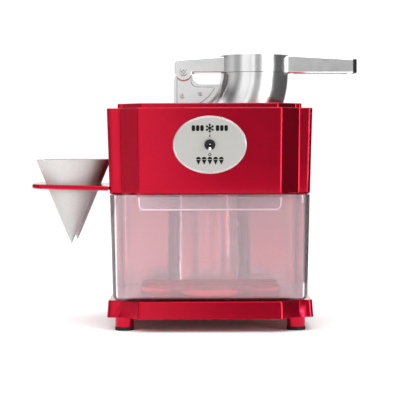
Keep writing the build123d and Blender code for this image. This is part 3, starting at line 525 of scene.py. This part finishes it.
def printed(name, outlines, lift=0.05 * MM, depth=INK_DEPTH, material=None):
    """Thin raised shapes on the badge, each outline a closed list of (x, y) in millimetres."""
    frame_on_badge = badge_frame(lift)

    def raise_outlines(shape):
        for outline in outlines:
            verts = [shape.verts.new((x * MM, y * MM, -depth / 2)) for x, y in outline]
            face = shape.faces.new(verts)
            grown = bmesh.ops.extrude_face_region(shape, geom=[face])
            raised = [item for item in grown["geom"] if isinstance(item, bmesh.types.BMVert)]
            bmesh.ops.translate(shape, verts=raised, vec=(0, 0, depth))
        shape.transform(frame_on_badge)
        bmesh.ops.recalc_face_normals(shape, faces=shape.faces)

    piece = new_piece(name, raise_outlines)
    return show(piece, material or INK, "cabinet")


def turned(points, degrees, offset=(0, 0)):
    """Points turned about their origin, then moved by offset."""
    c, s = math.cos(math.radians(degrees)), math.sin(math.radians(degrees))
    return [(x * c - y * s + offset[0], x * s + y * c + offset[1]) for x, y in points]


def bar(x, y, width, height):
    """Outline of an upright bar with clipped corners, centred on x, y."""
    w, h, c = width / 2, height / 2, min(width, height) * 0.25
    corners = [
        (-w + c, -h), (w - c, -h), (w, -h + c), (w, h - c),
        (w - c, h), (-w + c, h), (-w, h - c), (-w, -h + c),
    ]
    return [(x + dx, y + dy) for dx, dy in corners]


def disc(x, y, radius, start=0, sweep=360, steps=28):
    """Outline of a disc, or of a half disc when sweep is 180."""
    count = steps if sweep == 360 else steps + 1
    angles = [math.radians(start + sweep * i / steps) for i in range(count)]
    return [(x + radius * math.cos(a), y + radius * math.sin(a)) for a in angles]


def snowflake(x, y, reach):
    """Six-armed snowflake: arms with two pairs of barbs each."""
    strokes = []
    for arm in range(6):
        strokes.append(turned(bar(0, reach / 2, 1.5, reach), 60 * arm, (x, y)))
        for along, length in ((0.55, 0.34), (0.82, 0.22)):
            for side in (-1, 1):
                barb = turned(bar(0, length * reach / 2, 1.1, length * reach), 52 * side)
                barb = [(bx, by + along * reach) for bx, by in barb]
                strokes.append(turned(barb, 60 * arm, (x, y)))
    return strokes


def cone_sign(x, y):
    """Paper cone pictogram: a pointed cup under a round heap of ice."""
    cup = [(x - 3.1, y - 0.3), (x, y - 6.6), (x + 3.1, y - 0.3)]
    return [cup, disc(x, y + 0.3, 3.1, start=0, sweep=180)]


EMBLEM_HEIGHT = 21
ON_HEIGHT = 11.2
OFF_HEIGHT = -12.4
SIGNS_HEIGHT = -18.6
DASH_PLACES = [side * x for side in (-1, 1) for x in (9.8, 15.2, 20.6)]
SIGN_PLACES = (-14.4, -7.2, 0, 7.2, 14.4)
printed("badge_emblem", snowflake(0, EMBLEM_HEIGHT, 5.6))
printed("badge_dashes", [bar(x, EMBLEM_HEIGHT, 4.4, 7.4) for x in DASH_PLACES])
printed("badge_on_mark", [bar(0, ON_HEIGHT, 1.3, 3.6)])
printed("badge_cone_signs", [part for x in SIGN_PLACES for part in cone_sign(x, SIGNS_HEIGHT)])


def oval_ring(name, radii, tube, lift, material, height=0):
    """Rounded bead that follows an oval on the badge, its middle at height millimetres."""
    frame_on_badge = badge_frame(lift)
    steps, sides = 96, 8

    def sweep_bead(shape):
        rings = []
        for i in range(steps):
            a = 2 * math.pi * i / steps
            outward = Vector((math.cos(a) / radii[0], math.sin(a) / radii[1], 0)).normalized()
            centre = Vector((radii[0] * math.cos(a), radii[1] * math.sin(a) + height, 0))
            ring = []
            for k in range(sides):
                b = 2 * math.pi * k / sides
                around = outward * math.cos(b) + Vector((0, 0, math.sin(b)))
                ring.append(shape.verts.new((centre + tube * around) * MM))
            rings.append(ring)
        for i in range(steps):
            for k in range(sides):
                here, there = rings[i], rings[(i + 1) % steps]
                shape.faces.new((here[k], there[k], there[(k + 1) % sides], here[(k + 1) % sides]))
        shape.transform(frame_on_badge)
        bmesh.ops.recalc_face_normals(shape, faces=shape.faces)

    piece = new_piece(name, sweep_bead)
    shade(piece, 80)
    return show(piece, material, "cabinet")


low_corner, high_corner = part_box("badge_plate")
BADGE_HALF = ((high_corner[0] - low_corner[0]) / 2 / MM, (high_corner[2] - low_corner[2]) / 2 / MM)
BEAD_INSET = 1.1
TRIM_OVERHANG = 0.15
SUNK = -0.15 * MM
bead_radii = tuple(half - BEAD_INSET for half in BADGE_HALF)
trim_radii = tuple(half + TRIM_OVERHANG for half in BADGE_HALF)
trim_lift = 0.2 * MM - BADGE_THICKNESS
oval_ring("badge_bead", bead_radii, 0.45, SUNK, MATERIALS["bright_nickel"])
oval_ring("badge_trim", trim_radii, 0.5, trim_lift, MATERIALS["bright_nickel"])
oval_ring("badge_off_mark", (1.5, 1.5), 0.5, SUNK, INK, OFF_HEIGHT)

# ------------------------------------------------------------------ rolled paper cones

PAPER_THICKNESS = 0.4 * MM
SEAM_OVERLAP = math.radians(32)


def rolled_cone(node, turn):
    """Paper cone rolled from one sheet, its outer edge lapped over the inner one."""
    low, high = (Vector(corner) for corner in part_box(node))
    axis_x, axis_y = (low.x + high.x) / 2, (low.y + high.y) / 2
    radius = (high.x - low.x) / 2
    height = high.z - low.z
    rows, steps = 26, 88
    whole = 2 * math.pi + SEAM_OVERLAP

    def roll(shape):
        skins = []
        for inner in (0, 1):
            skin = []
            for j in range(rows + 1):
                share = 0.012 + 0.988 * j / rows
                row = []
                for i in range(steps + 1):
                    a = whole * i / steps
                    lap = PAPER_THICKNESS * (1.15 - 1.15 * a / whole)
                    slow_wave = 0.25 * MM * share * (1 + math.sin(3 * a + turn))
                    wave = slow_wave + 0.15 * MM * share * (1 + math.sin(7 * a))
                    dip = 1.1 * MM * share * max(0.0, (a - 2 * math.pi) / SEAM_OVERLAP)
                    distance = max(0.15 * MM, radius * share - lap - wave - inner * PAPER_THICKNESS)
                    row.append(shape.verts.new((
                        axis_x + distance * math.cos(a + turn),
                        axis_y + distance * math.sin(a + turn),
                        low.z + height * share - dip + inner * PAPER_THICKNESS * (1 - share),
                    )))
                skin.append(row)
            skins.append(skin)
        for skin in skins:
            for j in range(rows):
                for i in range(steps):
                    shape.faces.new((skin[j][i], skin[j][i + 1], skin[j + 1][i + 1], skin[j + 1][i]))
        outer, inner = skins
        for i in range(steps):
            for j in (0, rows):
                shape.faces.new((outer[j][i], outer[j][i + 1], inner[j][i + 1], inner[j][i]))
        for j in range(rows):
            for i in (0, steps):
                shape.faces.new((outer[j][i], outer[j + 1][i], inner[j + 1][i], inner[j][i]))
        bmesh.ops.recalc_face_normals(shape, faces=shape.faces)

    piece = new_piece(node + "_rolled", roll)
    shade(piece, 50)
    show(piece, MATERIALS["paper"], node)
    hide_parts(node)


rolled_cone("cone_front", math.radians(60))
rolled_cone("cone_rear", math.radians(75))

# ------------------------------------------------------------------ studio


def make_floor():
    """Plain pale round floor, wider than the view."""
    reach, sides = 2.2, 72

    def round_sheet(shape):
        angles = [2 * math.pi * i / sides for i in range(sides)]
        shape.faces.new([shape.verts.new((reach * math.cos(a), reach * math.sin(a), 0)) for a in angles])

    floor = new_piece("studio_floor", round_sheet)
    m = Nodes("studio_floor")
    m.set(Specular_IOR_Level=0.2)
    m.link(m.mix(m.noise(3, 3), (0.93, 0.93, 0.93), (0.95, 0.95, 0.95)), m.shader.inputs["Base Color"])
    m.link(m.ramp(m.noise(30, 2), 0.3, 0.7, 0.55, 0.7), m.shader.inputs["Roughness"])
    floor.data.materials.append(m.material)


# Brightness of the studio around the machine, by the compass angle from the front, left negative
STUDIO = [
    (-180, 1.0), (-140, 0.8), (-118, 0.12), (-100, 0.5), (-80, 0.75), (-66, 0.4), (-52, 0.4), (-40, 1.15),
    (-24, 1.1), (-12, 0.85), (-5, 1.45), (-2.2, 1.45), (0.8, 0.38), (18, 0.44), (30, 1.7), (38, 3), (42, 8),
    (50, 8), (54, 3), (66, 0.3), (92, 0.2), (125, 0.03), (150, 0.9), (180, 1.0),
]
STUDIO_STRENGTH = 1.0


def make_studio():
    """Soft studio: white boxes left and right of the camera, dark flags beside, white behind."""
    world = bpy.data.worlds.new("studio")
    scene.world = world
    world.use_nodes = True
    tree = world.node_tree
    background = tree.nodes["Background"]
    output = tree.nodes["World Output"]
    split = tree.nodes.new("ShaderNodeSeparateXYZ")
    tree.links.new(tree.nodes.new("ShaderNodeTexCoord").outputs["Generated"], split.inputs["Vector"])
    flip = tree.nodes.new("ShaderNodeMath")
    flip.operation = "MULTIPLY"
    flip.inputs[1].default_value = -1
    tree.links.new(split.outputs["Y"], flip.inputs[0])
    angle = tree.nodes.new("ShaderNodeMath")
    angle.operation = "ARCTAN2"
    tree.links.new(split.outputs["X"], angle.inputs[0])
    tree.links.new(flip.outputs["Value"], angle.inputs[1])
    turn = tree.nodes.new("ShaderNodeMapRange")
    turn.inputs["From Min"].default_value = -math.pi
    turn.inputs["From Max"].default_value = math.pi
    tree.links.new(angle.outputs["Value"], turn.inputs["Value"])
    ring = tree.nodes.new("ShaderNodeValToRGB")
    stops = ring.color_ramp.elements
    while len(stops) < len(STUDIO):
        stops.new(1.0)
    for stop, (degrees, level) in zip(stops, STUDIO):
        stop.position = (degrees + 180) / 360
        stop.color = (level, level, level, 1)
    tree.links.new(turn.outputs["Result"], ring.inputs["Fac"])
    band = tree.nodes.new("ShaderNodeMapRange")
    top = tree.nodes.new("ShaderNodeMapRange")
    for node, (z_low, z_high, low, high) in ((band, (0.25, 0.42, 1.0, 0.3)), (top, (0.55, 0.8, 0.0, 2.1))):
        node.inputs["From Min"].default_value = z_low
        node.inputs["From Max"].default_value = z_high
        node.inputs["To Min"].default_value = low
        node.inputs["To Max"].default_value = high
        tree.links.new(split.outputs["Z"], node.inputs["Value"])
    dimmed = tree.nodes.new("ShaderNodeVectorMath")
    dimmed.operation = "SCALE"
    tree.links.new(ring.outputs["Color"], dimmed.inputs[0])
    tree.links.new(band.outputs["Result"], dimmed.inputs["Scale"])
    whole = tree.nodes.new("ShaderNodeVectorMath")
    whole.operation = "ADD"
    tree.links.new(dimmed.outputs["Vector"], whole.inputs[0])
    tree.links.new(top.outputs["Result"], whole.inputs[1])
    tree.links.new(whole.outputs["Vector"], background.inputs["Color"])
    background.inputs["Strength"].default_value = STUDIO_STRENGTH
    white = tree.nodes.new("ShaderNodeBackground")
    white.inputs["Strength"].default_value = 1.05
    white.inputs["Color"].default_value = (1, 1, 1, 1)
    seen = tree.nodes.new("ShaderNodeLightPath")
    choose = tree.nodes.new("ShaderNodeMixShader")
    tree.links.new(seen.outputs["Is Camera Ray"], choose.inputs["Fac"])
    tree.links.new(background.outputs["Background"], choose.inputs[1])
    tree.links.new(white.outputs["Background"], choose.inputs[2])
    tree.links.new(choose.outputs["Shader"], output.inputs["Surface"])


def make_key_light(name, place, size, power):
    """Large square softbox aimed at the machine's middle."""
    data = bpy.data.lights.new(name, "AREA")
    data.size = size
    data.energy = power
    lamp = bpy.data.objects.new(name, data)
    lamp.location = place
    middle = Vector((0, 0, 0.18))
    lamp.rotation_euler = (middle - lamp.location).to_track_quat("-Z", "Y").to_euler()
    lamp.visible_camera = False
    lamp.visible_glossy = False
    scene.collection.objects.link(lamp)


def make_flag():
    """Black flag on the machine's right, seen only in reflections."""
    side, front, back, low, high = 0.55, -0.26, 1.1, 0.01, 0.6

    def sheet(shape):
        outline = ((front, low), (back, low), (back, high), (front, high))
        shape.faces.new([shape.verts.new((side, y, z)) for y, z in outline])

    flag = new_piece("black_flag", sheet)
    m = Nodes("black_flag")
    m.link(m.mix(m.noise(40, 3), (0.07, 0.07, 0.07), (0.09, 0.09, 0.09)), m.shader.inputs["Base Color"])
    m.set(Roughness=0.9)
    flag.data.materials.append(m.material)
    flag.visible_camera = False
    flag.visible_diffuse = False
    flag.visible_shadow = False
    flag.visible_transmission = False


make_floor()
make_flag()
make_studio()
make_key_light("key_left", (-0.35, -0.40, 0.30), 0.2, 1.5)
